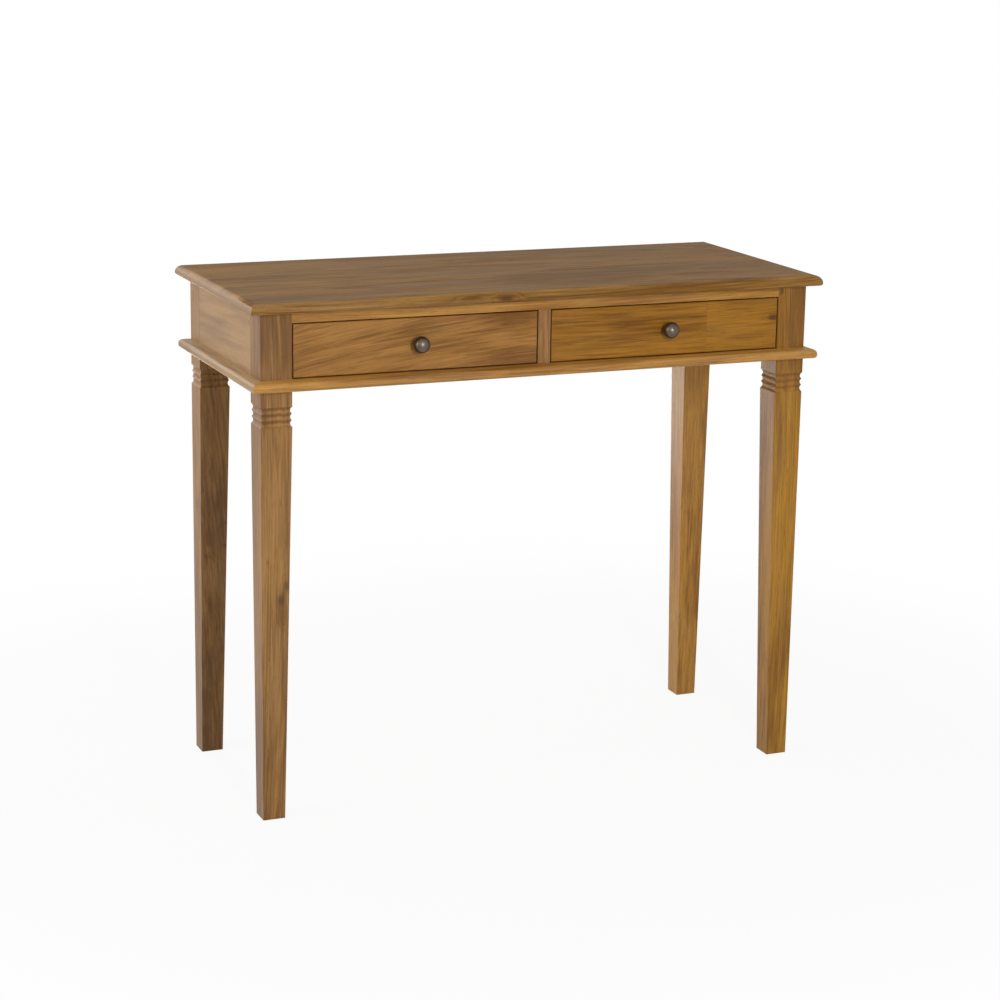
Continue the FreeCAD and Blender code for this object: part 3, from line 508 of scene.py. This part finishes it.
def plated_steel(name, tint):
    """Zinc-plated steel: pale grey metal, slightly mottled by its plating."""
    material, tree, output = new_material(name)
    object_space = add(tree, "ShaderNodeTexCoord").outputs["Object"]
    mottle = add(tree, "ShaderNodeTexNoise", {
        "Vector": object_space, "Scale": 1 / (PLATING_MOTTLE * MM), "Detail": 3})
    dull = add(tree, "ShaderNodeMapRange", {
        "Value": mottle.outputs[0], "To Min": PLATING_ROUGHNESS[0], "To Max": PLATING_ROUGHNESS[1]})
    metal = add(tree, "ShaderNodeBsdfPrincipled", {
        "Base Color": tint, "Roughness": dull.outputs[0], "Metallic": 1.0})
    tree.links.new(metal.outputs[0], output.inputs["Surface"])
    return material


# Points nearer than WELD become one, and so do faces that meet at less than FLAT. Edges over SHARP are
# eased in a few steps, and edges over SMOOTH stay crisp in the shading.
WELD = 0.005 * MM
FLAT = math.radians(0.5)
SHARP = math.radians(28)
SMOOTH = math.radians(40)
EASE_STEPS = 3


def eased_mesh(node, ease):
    """Mesh with the shape of a CAD node, its sharp outer edges rounded a little as sanding leaves them."""
    shape = bmesh.new()
    shape.from_mesh(frame["nodes"][node].data)
    bmesh.ops.remove_doubles(shape, verts=shape.verts, dist=WELD)
    bmesh.ops.dissolve_limit(shape, angle_limit=FLAT, verts=shape.verts, edges=shape.edges)
    if ease:
        sharp = [edge for edge in shape.edges
                 if edge.is_manifold and edge.is_convex and edge.calc_face_angle() > SHARP]
        bmesh.ops.bevel(shape, geom=sharp, offset=ease, offset_type="OFFSET", segments=EASE_STEPS,
                        profile=0.5, affect="EDGES", clamp_overlap=True)
    mesh = bpy.data.meshes.new(f"{node}_finished")
    shape.to_mesh(mesh)
    shape.free()
    return mesh


def seat(mesh, node, material):
    """Object that stands for a CAD node, rides on its body and takes its slot."""
    mesh.materials.append(material)
    for face in mesh.polygons:
        face.use_smooth = True
    mesh.set_sharp_from_angle(angle=SMOOTH)
    piece = bpy.data.objects.new(f"{node}_finished", mesh)
    bpy.context.scene.collection.objects.link(piece)
    normals = piece.modifiers.new("flat faces stay flat", "WEIGHTED_NORMAL")
    normals.keep_sharp = True
    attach(piece, BODY_OF[node])
    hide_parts(node)
    return piece


def middle(node):
    """Middle of a CAD node's box."""
    low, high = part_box(node)
    return (low + high) / 2


def wooden(node, board, finish, seed, ease):
    """Finished wooden piece in place of a CAD node. The seed tells how far along the log its board lay."""
    streak = bpy.context.scene.desk_colours.streak
    material = teak(f"{finish.name}_{node}", middle(node), board, finish, seed, streak)
    return seat(eased_mesh(node, ease), node, material)


class DESK_OT_legs(bpy.types.Operator):
    """Legs with the grain upright"""

    bl_idname = "desk.legs"
    bl_label = "Legs"

    def execute(self, context):
        sizes, colours = context.scene.desk_sizes, context.scene.desk_colours
        boards = {
            "front_left_leg": Board(Log("z", (38, 26), (0.8, -0.5), 7.0), colours.front_left_leg, (
                Mark((-404, FRONT, 359), 7, 1.6, 2.5, 0.45, 0.50),
                Mark((-412, FRONT, 339), 8, 1.5, 3.0, 0.45, 0.60),
                Mark((-406, FRONT, 314), 10, 1.4, 2.0, 0.55),
                Mark((-426, FRONT, 420), 13, 6.0, 0.0, -0.25),
                Mark((-433, FRONT, 397), 3, 2.0, 0.0, 0.2, 0.3),
                Mark((-441, FRONT, 639), 6, 4.0, 0.0, 0.4),
                Mark((-438, FRONT, 721), 5, 8.0, 0.0, 0.5, 0.3),
                # Painted shade: the left face darkened towards the foot, where less light reaches it.
                Mark((-446, -150, 40), 26, 4.5, 0.0, 0.45),
                Mark((-410, -180, 715), 26, 2.6, 0.0, 0.40))),
            "front_right_leg": Board(Log("z", (-44, 30), (-0.7, 0.6), 6.0), colours.front_right_leg, (
                Mark((398, FRONT, 756), 5, 1.6, 1.5, 0.3, 0.6),
                Mark((391, -140, 330), 14, 14.0, 0.0, 0.45),
                # Painted shade: the left face darkened towards the foot, where less light reaches it.
                Mark((391, -140, 70), 20, 5.5, 0.0, 0.65),
                Mark((420, -166, 390), 22, 6.0, 0.0, -0.15),
                Mark((417, FRONT, 715), 50, 1.4, 0.0, 0.85))),
            "rear_left_leg": Board(Log("z", (30, -40), (2.0, 4.0), 7.0), colours.rear_left_leg, (
                Mark((-420, 142, 540), 18, 4.0, 0.0, 0.35),
                Mark((-424, 142, 405), 16, 1.2, 2.0, 0.40),
                Mark((-412, 142, 356), 16, 1.5, 2.5, 0.50),
                Mark((-422, 142, 290), 14, 1.8, 0.0, -0.35),
                Mark((-428, 142, 336), 5, 1.0, 1.0, -0.5),
                # Painted shade: the left face darkened towards the foot, where less light reaches it.
                Mark((-443, 175, 90), 26, 5.0, 0.0, 0.45))),
            "rear_right_leg": Board(Log("z", (-36, 50), (0.4, -0.3), 6.5), colours.rear_right_leg, (
                Mark((418, 142.5, 345), 9, 1.3, 3.0, -0.3),
                Mark((412, 142.5, 324), 8, 2.0, 0.0, 0.20))),
        }
        for seed, (node, board) in enumerate(boards.items()):
            across, depth, _ = middle(node) / MM
            # Painted shade: a dark band round each leg at every cove, standing in for the shade inside the
            # cove.
            cove_shade = tuple(
                Mark((across, depth, height), reach=60, stretch=0.03, tone=0.5) for height in COVES)
            wooden(node, board._replace(marks=board.marks + cove_shade), WAXED, seed, sizes.ease)
        return {"FINISHED"}


class DESK_OT_aprons(bpy.types.Operator):
    """Side and back aprons with the grain along them"""

    bl_idname = "desk.aprons"
    bl_label = "Aprons"

    def execute(self, context):
        sizes, colours = context.scene.desk_sizes, context.scene.desk_colours
        logs = {
            "left_apron": Log("y", (20, 70), (3.0, -4.0), 9.0),
            "right_apron": Log("y", (-18, -66), (-3.0, 3.0), 8.0),
            "back_apron": Log("x", (-60, 24), (1.0, 2.0), 8.0),
        }
        for seed, (node, log) in enumerate(logs.items(), start=4):
            wooden(node, Board(log, colours.aprons), WAXED_APRON, seed, sizes.joint_ease)
        return {"FINISHED"}


class DESK_OT_front_frame(bpy.types.Operator):
    """Rails over and under the drawers, and the divider between them"""

    bl_idname = "desk.front_frame"
    bl_label = "Front frame"

    def execute(self, context):
        sizes, colours = context.scene.desk_sizes, context.scene.desk_colours
        boards = {
            "front_top_rail": Board(Log("x", (42, 30), (0.6, 0.4), 6.0), colours.rails),
            "front_bottom_rail": Board(Log("x", (-38, 34), (0.5, -0.6), 6.0), colours.rails),
            "drawer_divider": Board(Log("z", (20, 55), (1.0, 1.0), 5.0), colours.divider),
        }
        for seed, (node, board) in enumerate(boards.items(), start=8):
            wooden(node, board, WAXED, seed, sizes.joint_ease)
        return {"FINISHED"}


class DESK_OT_mouldings(bpy.types.Operator):
    """Round-nosed strips of the skirt, each with the grain along it"""

    bl_idname = "desk.mouldings"
    bl_label = "Mouldings"

    def execute(self, context):
        colours = context.scene.desk_colours
        grains = {"front_moulding": "x", "right_moulding": "y", "back_moulding": "x", "left_moulding": "y"}
        for seed, (node, grain) in enumerate(grains.items(), start=12):
            log = Log(grain, (28 + seed, 33), (0.5, 0.4), 5.0)
            # Painted sheen: the left moulding takes a paler, greyer colour, standing in for the sheen of
            # the light from the left.
            tone = colours.left_moulding if node == "left_moulding" else colours.mouldings
            wooden(node, Board(log, tone), WAXED, seed, 0)
        return {"FINISHED"}


class DESK_OT_top_boards(bpy.types.Operator):
    """Boards of the top, flush along their glue lines, each from another log"""

    bl_idname = "desk.top_boards"
    bl_label = "Top boards"

    def execute(self, context):
        colours = context.scene.desk_colours
        marks = {
            "top_board_1": (
                Mark((-70, -194, 770), 7, 2.6, 2.0, 0.45, 0.75),
                Mark((-124, -193, 771), 5, 4.0, 1.5, 0.4, 0.4),
                # Painted shade: the front middle of the top darkened, standing in for less sheen there.
                Mark((-20, -112, TOP), 45, 4.0, 0.0, 0.40)),
            "top_board_2": (
                Mark((333, -72, TOP), 5, 3.0, 1.0, 0.3, 0.3),
                Mark((386, -77, TOP), 5, 3.0, 1.0, 0.3),
                # Painted shade: the front middle of the top darkened, standing in for less sheen there.
                Mark((-20, -112, TOP), 45, 4.0, 0.0, 0.40)),
            "top_board_3": (Mark((201, 43, TOP), 12, 3.0, 3.0, 0.2),),
            "top_board_4": (
                Mark((-2, 93, TOP), 12, 3.0, 3.0, 0.2),
                Mark((-20, 76, TOP), 9, 9.0, 0.0, -0.35),
                # Painted sheen: the back left of the top lightened, standing in for more sheen there.
                Mark((-330, 125, TOP), 45, 4.0, 0.0, -0.45)),
            # Painted sheen: the back left of the top lightened, standing in for more sheen there.
            "top_board_5": (Mark((-330, 125, TOP), 45, 4.0, 0.0, -0.45),),
        }
        nodes = sorted(node for node in frame["nodes"] if node.startswith("top_board_"))
        for seed, node in enumerate(nodes, start=17):
            side = 1 if seed % 2 else -1
            log = Log("x", (side * 52, 18 + 9 * side), (0.5 * side, 1.1), 7.0, 14.0, 4.0 * side)
            wooden(node, Board(log, colours.top, marks.get(node, ())), WAXED_TOP, seed, 0)
        return {"FINISHED"}


class DESK_OT_drawer_fronts(bpy.types.Operator):
    """Drawer fronts: slanting rings on the left one, a second length of wood glued on at the right end"""

    bl_idname = "desk.drawer_fronts"
    bl_label = "Drawer fronts"

    def execute(self, context):
        colours = context.scene.desk_colours
        left_log = Log("x", (95, 30), (1.5, 7.5), 2.8, 9.0, -24.0)
        right_log = Log("x", (-70, 36), (1.0, 0.5), 6.0, 10.0)
        boards = {
            "left_drawer_front": Board(left_log, colours.left_drawer, (
                Mark((-314, FRONT, 733), 11, 3.0, 0.0, -0.6),
                Mark((-237, FRONT, 741), 8, 3.0, 0.0, -0.6),
                Mark((-166, FRONT, 678), 8, 6.0, 0.0, -0.6),
                Mark((-110, FRONT, 728), 9, 4.0, 0.0, -0.6),
                Mark((-72, FRONT, 708), 10, 2.0, 0.0, -0.5),
                Mark((-30, FRONT, 680), 12, 3.0, 0.0, 0.6),
                Mark((-60, FRONT, 745), 10, 4.0, 0.0, 0.5),
                Mark((-80, FRONT, 708), 40, 1.4, 0.0, 0.50),
                Mark((-200, FRONT, 732), 10, 3.0, 0.0, 0.35))),
            "right_drawer_front": Board(right_log, colours.right_drawer, (
                Mark((145, FRONT, 724), 11, 4.0, 0.0, 0.35),
                Mark((199, FRONT, 684), 8, 5.0, 0.0, -0.25),
                Mark((26, FRONT, 679), 7, 4.0, 0.0, -0.25),
                Mark((245, FRONT, 706), 16, 1.2, 0.0, 0.25),
                Mark((284, FRONT, 734), 9, 2.0, 0.0, -0.5),
                Mark((290, FRONT, 692), 8, 3.0, 0.0, -0.4),
                Mark((385, FRONT, 716), 6, 2.0, 2.0, 0.4, 0.7)), splice=270),
        }
        finishes = {"left_drawer_front": WAXED_DRAWER, "right_drawer_front": QUIET_DRAWER}
        for seed, (node, board) in enumerate(boards.items(), start=24):
            wooden(node, board, finishes[node], seed, 0)
        return {"FINISHED"}


class DESK_OT_drawer_boxes(bpy.types.Operator):
    """Unfinished sides, backs and bottoms of the drawers"""

    bl_idname = "desk.drawer_boxes"
    bl_label = "Drawer boxes"

    def execute(self, context):
        sizes, colours = context.scene.desk_sizes, context.scene.desk_colours
        grains = {"left_side": "y", "right_side": "y", "back": "x"}
        seed = 30
        for side in SIDES:
            for part, grain in grains.items():
                log = Log(grain, (60 - seed, 40), (1.2, -0.8), 5.0)
                wooden(f"{side}_drawer_{part}", Board(log, colours.inside), PLANED, seed, sizes.inner_ease)
                seed += 1
            peeled = Log("x", (10, 90), (0.6, 0.9), 3.0)
            wooden(f"{side}_drawer_bottom", Board(peeled, colours.plywood), PLYWOOD, seed, 0)
            seed += 1
        return {"FINISHED"}


class DESK_OT_drawer_ways(bpy.types.Operator):
    """Unfinished bearers, runners, guides, kickers and stops inside the frame"""

    bl_idname = "desk.drawer_ways"
    bl_label = "Drawer ways"

    def execute(self, context):
        sizes, colours = context.scene.desk_sizes, context.scene.desk_colours
        nodes = [node for node, slot in SLOT_OF.items()
                 if slot == "plain_teak" and BODY_OF[node] == "frame"]
        for seed, node in enumerate(nodes, start=40):
            log = Log("x" if node == "drawer_stops" else "y", (50, 30), (1.0, 0.6), 5.0)
            wooden(node, Board(log, colours.inside), PLANED, seed, sizes.inner_ease)
        return {"FINISHED"}


# Steps of the knobs' outline: round the axis, along the ball and along each fillet.
KNOB_TURNS = 64
BALL_STEPS = 28
FILLET_STEPS = 6


def knob_profile(node, sizes):
    """Outline of a knob from foot to tip: distance from the axis, distance from the drawer front."""
    low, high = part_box(node)
    ball_radius = (high.x - low.x) / 2
    reach = high.y - low.y
    foot, stem, fillet = sizes.knob_foot / 2, sizes.knob_stem / 2, sizes.knob_fillet
    outline = [(0, 0), (foot, 0)]
    for step in range(FILLET_STEPS + 1):
        turn = math.pi / 2 * step / FILLET_STEPS
        outline.append((
            foot - fillet * (1 - math.cos(turn)),
            sizes.knob_foot_height - fillet * (1 - math.sin(turn)),
        ))
    for step in range(FILLET_STEPS + 1):
        turn = math.pi / 2 * step / FILLET_STEPS
        outline.append((
            stem + fillet * (1 - math.sin(turn)),
            sizes.knob_foot_height + fillet * (1 - math.cos(turn)),
        ))
    centre = reach - ball_radius
    start = -math.acos(stem / ball_radius)
    for step in range(BALL_STEPS):
        turn = start + (math.pi / 2 - start) * step / BALL_STEPS
        outline.append((ball_radius * math.cos(turn), centre + ball_radius * math.sin(turn)))
    outline.append((0, reach))
    return outline


def turned_mesh(node, outline):
    """Mesh turned from an outline about the axis of a knob, which points to the front."""
    low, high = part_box(node)
    axis = Vector(((low.x + high.x) / 2, high.y, (low.z + high.z) / 2))
    shape = bmesh.new()
    points = [shape.verts.new(axis + Vector((radius, -out, 0))) for radius, out in outline]
    edges = [shape.edges.new(pair) for pair in zip(points, points[1:])]
    bmesh.ops.spin(shape, geom=points + edges, cent=axis, axis=(0, 1, 0), angle=2 * math.pi,
                   steps=KNOB_TURNS, use_merge=True)
    bmesh.ops.remove_doubles(shape, verts=shape.verts, dist=WELD)
    bmesh.ops.recalc_face_normals(shape, faces=shape.faces)
    mesh = bpy.data.meshes.new(f"{node}_finished")
    shape.to_mesh(mesh)
    shape.free()
    return mesh


class DESK_OT_knobs(bpy.types.Operator):
    """Turned pewter knobs"""

    bl_idname = "desk.knobs"
    bl_label = "Knobs"

    def execute(self, context):
        sizes, colours = context.scene.desk_sizes, context.scene.desk_colours
        material = pewter("aged_pewter", colours.pewter, colours.tarnish)
        for side in SIDES:
            node = f"{side}_drawer_knob"
            seat(turned_mesh(node, knob_profile(node, sizes)), node, material)
        return {"FINISHED"}


class DESK_OT_screws(bpy.types.Operator):
    """Steel on the screws of the top and the knobs"""

    bl_idname = "desk.screws"
    bl_label = "Screws"

    def execute(self, context):
        material = plated_steel("zinc_plated_steel", context.scene.desk_colours.steel)
        for node, slot in SLOT_OF.items():
            if slot == "screw_steel":
                mesh = frame["nodes"][node].data
                mesh.materials.clear()
                mesh.materials.append(material)
        return {"FINISHED"}


# The floor's half width in metres and its paint. Near the desk a small share of the floor's look is the
# lit paint, which holds the shadow. It fades to plain white between two distances from the middle, in
# metres.
FLOOR_REACH = 9.0
FLOOR_PAINT = "#D2D1CF"
FLOOR_SHADOW = 0.08
FLOOR_FADE = (0.7, 1.5)

# A soft box: where it stands, the point it faces, and its width and height, in metres.
SoftBox = namedtuple("SoftBox", "place target size")
SOFT_BOXES = {
    "front": SoftBox((-0.42, -3.1, 1.45), (-0.2, 0, 0.5), (0.14, 1.2)),
    "left": SoftBox((-2.6, 0.2, 1.4), (0, 0.2, 0.6), (2.0, 1.4)),
    "rim": SoftBox((-1.2, 2.4, 1.45), (-0.4, 0, 0.7), (1.4, 1.2)),
    "sheen": SoftBox((-0.15, 1.6, 0.3), (0.4, 0, 0.35), (0.6, 0.6)),
}
SENSOR_WIDTH = 36


def shown_ray(tree):
    """Whether a ray shows the white of the room: from the camera, off a gloss or through glass."""
    path = add(tree, "ShaderNodeLightPath").outputs
    result = path["Is Camera Ray"]
    for other in ("Is Glossy Ray", "Is Transmission Ray"):
        result = add(tree, "ShaderNodeMath", {0: result, 1: path[other]}, operation="MAXIMUM").outputs[0]
    return result


def studio_floor():
    """Floor with a soft shadow near the desk that fades into the white room."""
    material, tree, output = new_material("white_studio_floor")
    shown = shown_ray(tree)
    place = add(tree, "ShaderNodeTexCoord").outputs["Object"]
    away = add(tree, "ShaderNodeVectorMath", {0: place}, operation="LENGTH")
    fade = add(tree, "ShaderNodeMapRange", {
        "Value": away.outputs["Value"], "From Min": FLOOR_FADE[0], "From Max": FLOOR_FADE[1],
        "To Min": 1 - FLOOR_SHADOW, "To Max": 1}, interpolation_type="SMOOTHSTEP")
    glow = add(tree, "ShaderNodeMath", {0: shown, 1: fade.outputs[0]}, operation="MULTIPLY")
    paint = add(tree, "ShaderNodeBsdfDiffuse", {"Color": linear(FLOOR_PAINT)})
    light = add(tree, "ShaderNodeEmission", {"Color": (1, 1, 1, 1), "Strength": 1.0})
    mixed = add(tree, "ShaderNodeMixShader", {
        0: glow.outputs[0], 1: paint.outputs[0], 2: light.outputs[0]})
    tree.links.new(mixed.outputs[0], output.inputs["Surface"])
    return material


def white_room(horizon, ceiling):
    """World that looks white, and lights the desk more from the ceiling than from the walls."""
    world = bpy.data.worlds.new("white_room")
    world.use_nodes = True
    tree = world.node_tree
    tree.nodes.clear()
    output = add(tree, "ShaderNodeOutputWorld")
    shown = shown_ray(tree)
    height = add(tree, "ShaderNodeSeparateXYZ", {0: add(tree, "ShaderNodeTexCoord").outputs["Generated"]})
    room = add(tree, "ShaderNodeMapRange", {
        "Value": height.outputs["Z"], "To Min": horizon, "To Max": ceiling})
    level = add(tree, "ShaderNodeMapRange", {"Value": shown, "To Min": room.outputs[0], "To Max": 1.0})
    light = add(tree, "ShaderNodeBackground", {"Color": (1, 1, 1, 1), "Strength": level.outputs[0]})
    tree.links.new(light.outputs[0], output.inputs["Surface"])
    bpy.context.scene.world = world


def soft_box(name, box, watts):
    """Rectangular soft box that faces a point."""
    data = bpy.data.lights.new(name, "AREA")
    data.shape = "RECTANGLE"
    data.size, data.size_y = box.size
    data.energy = watts
    lamp = bpy.data.objects.new(name, data)
    lamp.location = box.place
    lamp.rotation_euler = (Vector(box.place) - Vector(box.target)).to_track_quat("Z", "Y").to_euler()
    lamp.visible_camera = False
    bpy.context.scene.collection.objects.link(lamp)


class DESK_OT_stage(bpy.types.Operator):
    """White studio: floor, room, soft boxes and the camera of the picture"""

    bl_idname = "desk.stage"
    bl_label = "Stage"

    def execute(self, context):
        scene, stage = context.scene, context.scene.desk_stage
        mesh = bpy.data.meshes.new("studio_floor")
        corners = ((-1, -1), (1, -1), (1, 1), (-1, 1))
        mesh.from_pydata([(x * FLOOR_REACH, y * FLOOR_REACH, 0) for x, y in corners], [], [(0, 1, 2, 3)])
        mesh.materials.append(studio_floor())
        floor = bpy.data.objects.new("studio_floor", mesh)
        scene.collection.objects.link(floor)
        white_room(stage.horizon, stage.ceiling)
        for name, box in SOFT_BOXES.items():
            soft_box(f"{name}_box", box, getattr(stage, f"{name}_power"))

        azimuth, elevation = stage.azimuth, stage.elevation
        back = Vector((math.sin(azimuth) * math.cos(elevation), -math.cos(azimuth) * math.cos(elevation),
                       math.sin(elevation)))
        level = (-back).cross(Vector((0, 0, 1))).normalized()
        upright = level.cross(-back)
        right = math.cos(stage.roll) * level + math.sin(stage.roll) * upright
        up = math.cos(stage.roll) * upright - math.sin(stage.roll) * level
        data = bpy.data.cameras.new("camera")
        data.sensor_width = SENSOR_WIDTH
        data.lens = stage.lens
        camera = bpy.data.objects.new("camera", data)
        turn = Matrix((right, up, back)).transposed()
        camera.matrix_world = Matrix.Translation(stage.camera_place) @ turn.to_4x4()
        scene.collection.objects.link(camera)
        scene.camera = camera
        scene.view_settings.view_transform = "Standard"
        return {"FINISHED"}


PIECES = (
    DESK_OT_legs, DESK_OT_aprons, DESK_OT_front_frame, DESK_OT_mouldings, DESK_OT_top_boards,
    DESK_OT_drawer_fronts, DESK_OT_drawer_boxes, DESK_OT_drawer_ways, DESK_OT_knobs, DESK_OT_screws,
    DESK_OT_stage,
)
GROUPS = {"desk_sizes": DeskSizes, "desk_colours": DeskColours, "desk_stage": DeskStage}


class DESK_PT_pieces(bpy.types.Panel):
    """Sizes and colours of the desk, and what can be made from them"""

    bl_idname = "DESK_PT_pieces"
    bl_label = "Writing Desk"
    bl_space_type = "VIEW_3D"
    bl_region_type = "UI"
    bl_category = "Desk"

    def draw(self, context):
        layout = self.layout
        for name, group in GROUPS.items():
            box = layout.box()
            for setting in group.__annotations__:
                box.prop(getattr(context.scene, name), setting)
        for piece in PIECES:
            layout.operator(piece.bl_idname)


def register():
    """Register the classes and hang the settings on the scene."""
    for group in (*GROUPS.values(), *PIECES, DESK_PT_pieces):
        bpy.utils.register_class(group)
    for name, group in GROUPS.items():
        setattr(bpy.types.Scene, name, bpy.props.PointerProperty(type=group))


def unregister():
    """Take the settings off the scene and unregister the classes."""
    for name in GROUPS:
        delattr(bpy.types.Scene, name)
    for group in (DESK_PT_pieces, *reversed(PIECES), *reversed(GROUPS.values())):
        bpy.utils.unregister_class(group)


def main():
    register()
    for piece in PIECES:
        name = piece.bl_idname.split(".")[1]
        getattr(bpy.ops.desk, name)()


if __name__ == "__main__":
    main()
